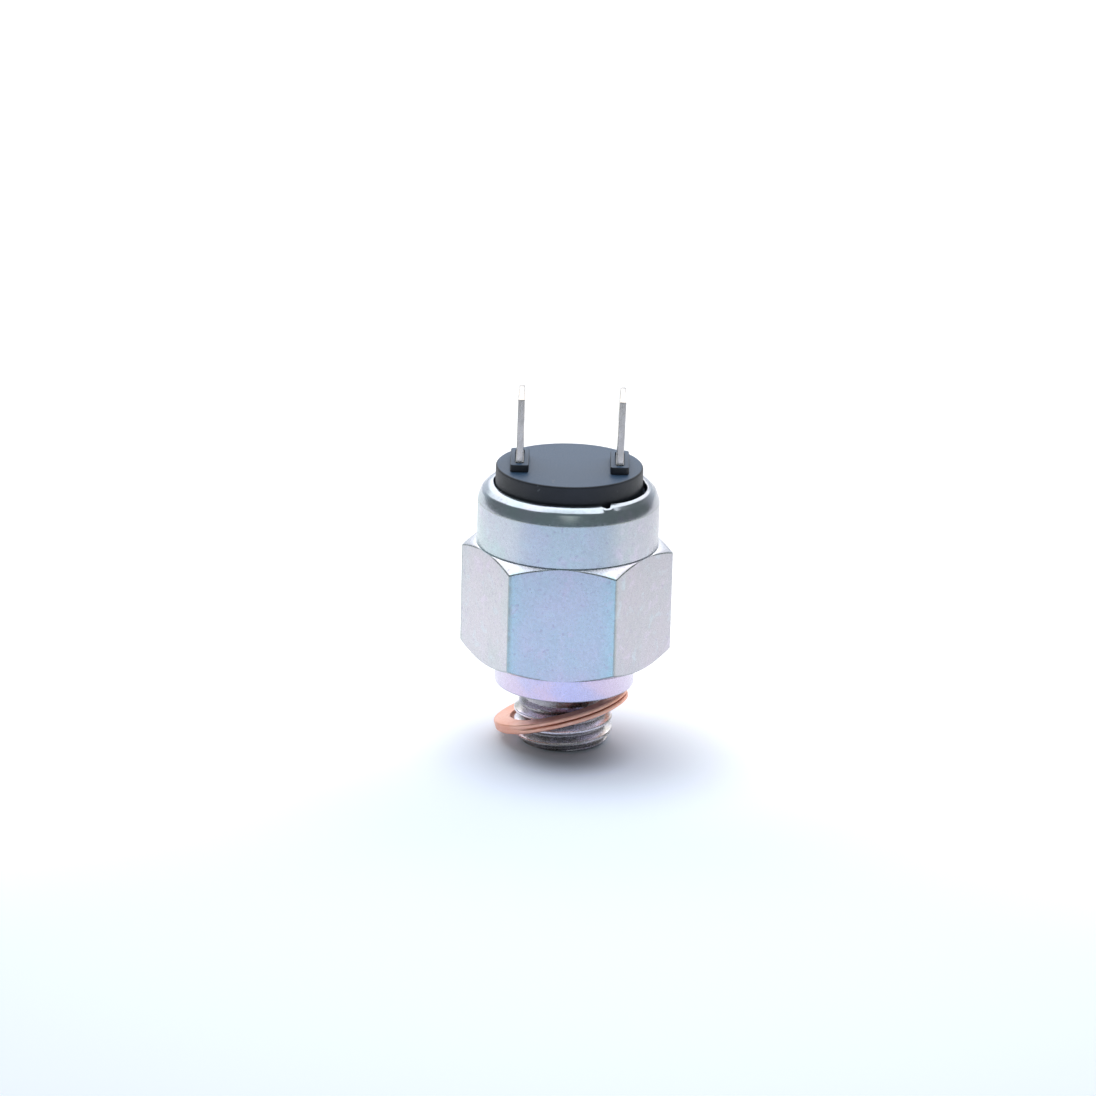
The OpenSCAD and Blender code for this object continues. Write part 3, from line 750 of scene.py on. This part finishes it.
def floor_material():
    """Over-lit white paper, painted darker and bluish in front of the object as painted shade, clear
    white at its sides and beyond it.

    It glows a little except round the object, so that the shadow stays close to the stud, and a painted
    contact shadow darkens it at the stud's front.
    """
    material, n, shader = new_material("floor_paper", Roughness=0.9)
    spot = n.place_mm()
    x, y, _ = n.add("ShaderNodeSeparateXYZ", {0: spot}).outputs
    beyond = n.math("ADD", y, n.math("MULTIPLY", n.math("ABSOLUTE", x), 0.8))
    white = n.remap(beyond, -25, 45)
    # Painted shade: in front of the object the paper is painted darker and bluish; at its sides and
    # beyond it, white.
    tone = n.mix(white, (0.80, 0.85, 1.0), (0.90, 0.91, 0.92))
    away = n.distance(spot, FILL_FROM)
    # Painted shadow: the paper's colour is darkened round the stud's front, a contact shadow.
    contact = n.remap(n.distance(spot, CONTACT_AT), 2.5, 9, 0.6, 1.0)
    fill = n.math("SUBTRACT", n.remap(away, 5, 26, 0.0, 0.36), n.remap(away, 14, 40, 0.0, 0.10))
    fill = n.math("SUBTRACT", fill, n.remap(away, 50, 150, 0.0, 0.20))
    glow = n.math("ADD", fill, n.remap(beyond, -5, 45, 0.0, 0.20))
    plug(n, shader, Base_Color=n.mix(contact, (0, 0, 0), tone))
    plug(n, shader, Emission_Color=n.mix(white, (0.72, 0.87, 1.0), (1.0, 1.0, 1.0)))
    plug(n, shader, Emission_Strength=glow)
    return material


def add_stage():
    bm = bmesh.new()
    bmesh.ops.create_grid(bm, x_segments=1, y_segments=1, size=FLOOR_HALF)
    data = bpy.data.meshes.new("floor")
    bm.to_mesh(data)
    bm.free()
    floor_object = bpy.data.objects.new("floor", data)
    floor_object.location.z = -FLOOR_GAP * MM
    SCENE.collection.objects.link(floor_object)
    data.materials.append(floor_material())


def add_world():
    """A white studio: a wide soft box up behind the object, a pale sweep, and a dim room in front."""
    world = bpy.data.worlds.new("studio")
    SCENE.world = world
    world.use_nodes = True
    n = Nodes(world.node_tree)
    way = n.add("ShaderNodeTexCoord").outputs["Generated"]
    _, y, z = n.add("ShaderNodeSeparateXYZ", {0: way}).outputs
    level = n.math("MULTIPLY", y, sin(radians(90 - BOX_UP)))
    towards_box = n.math("ADD", level, n.math("MULTIPLY", z, sin(radians(BOX_UP))))
    in_box = n.remap(towards_box, BOX_EDGE - 0.05, BOX_EDGE + 0.05)
    room = n.mix(n.remap(y, 0.45, 0.97), (0.195, 0.225, 0.225), (0.85, 0.92, 1.0))
    both_ways = {0: way, 1: LAMP_WAY}
    lamp = n.add("ShaderNodeVectorMath", both_ways, operation="DOT_PRODUCT").outputs["Value"]
    room = n.mix(n.remap(lamp, *LAMP_EDGE), room, (0.65, 0.65, 0.6))
    room = n.mix(n.remap(z, -0.05, -0.2), room, (0.8, 0.85, 0.9))
    light = n.mix(in_box, room, (BOX_GLOW, BOX_GLOW, BOX_GLOW * 1.02))
    camera_ray = n.add("ShaderNodeLightPath").outputs["Is Camera Ray"]
    colour = n.mix(camera_ray, light, (1.0, 1.0, 1.0))
    backdrop = n.add("ShaderNodeBackground", {"Color": colour, "Strength": 1.0})
    out = n.add("ShaderNodeOutputWorld")
    n.tree.links.new(backdrop.outputs[0], out.inputs[0])


# ---------------------------------------------------------------- build
def main():
    add_camera()
    SCENE.view_settings.view_transform = "Standard"
    add_stage()
    add_world()

    zinc = zinc_material()
    copper = copper_material()
    moulding = cap_material()
    turned, drawn, rolled = (0.3, 0.3, 3), (1, 1, 0.25), (0.3, 2, 1)    # how the grain is stretched
    tin = metal_material("tin_plate", (0.66, 0.62, 0.58), (0.58, 0.55, 0.52), 0.26, 3.0, drawn)
    brass = metal_material("turned_brass", (0.83, 0.65, 0.33), (0.74, 0.56, 0.26), 0.30, 2.0, turned)
    steel = metal_material("turned_steel", (0.62, 0.62, 0.64), (0.50, 0.50, 0.52), 0.32, 2.0, turned)
    wire = metal_material("spring_wire", (0.52, 0.52, 0.54), (0.42, 0.42, 0.45), 0.28, 4.0)
    strip = metal_material("bridge_copper", (0.86, 0.56, 0.40), (0.78, 0.48, 0.33), 0.33, 3.0, rolled)
    silver = metal_material("contact_silver", (0.90, 0.89, 0.86), (0.82, 0.81, 0.79), 0.22, 4.0)
    rubber = soft_material("seal_rubber", (0.03, 0.03, 0.032), (0.045, 0.045, 0.046), 0.62)
    backed = soft_material("backed_rubber", (0.22, 0.10, 0.05), (0.28, 0.13, 0.07), 0.7, 0.25)
    rod = soft_material("rod_moulding", (0.82, 0.79, 0.70), (0.76, 0.73, 0.64), 0.42)

    add_piece("housing_shell", housing(), zinc, "housing", "zinc_steel", "hex_body")
    add_piece("crush_washer", washer(), copper, "washer", "copper", "sealing_washer")
    add_piece("cap_moulded", cap(), moulding, "housing", "cap_plastic", "insulator_cap")
    add_piece("blade_left", blade(-1), tin, "housing", "tinned_blade", "terminal_left")
    add_piece("blade_right", blade(1), tin, "housing", "tinned_blade", "terminal_right")

    coils = (
        ("main_coil", "main_spring", "housing", "plunger_travel", MAIN_Z + MAIN_H, STROKE,
         (MAIN_Z, MAIN_H, MAIN_R, MAIN_WIRE, MAIN_TURNS)),
        ("contact_coil", "contact_spring", "plunger", "bridge_follow", CONTACT_Z, OVERTRAVEL,
         (CONTACT_Z, CONTACT_H, CONTACT_R, CONTACT_WIRE, CONTACT_TURNS)),
    )
    for name, node, body, joint, seat, pressed, sizes in coils:
        piece = add_piece(name, coil(*sizes), wire, body, "spring_steel", node)
        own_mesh(piece)

    kept = {
        "diaphragm_seal": rubber, "cap_seal": rubber, "diaphragm": backed, "guide_ring": brass,
        "pressure_piston": steel, "push_rod": rod, "spring_seat": steel,
        "adjusting_screw": brass, "screw_carrier": steel,
        "contact_bridge": strip, "moving_contacts": silver, "retaining_clip": wire,
        "fixed_contact_left": silver, "fixed_contact_right": silver,
    }
    for name, material in kept.items():
        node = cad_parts[name]
        node.data.materials.clear()
        node.data.materials.append(material)


main()
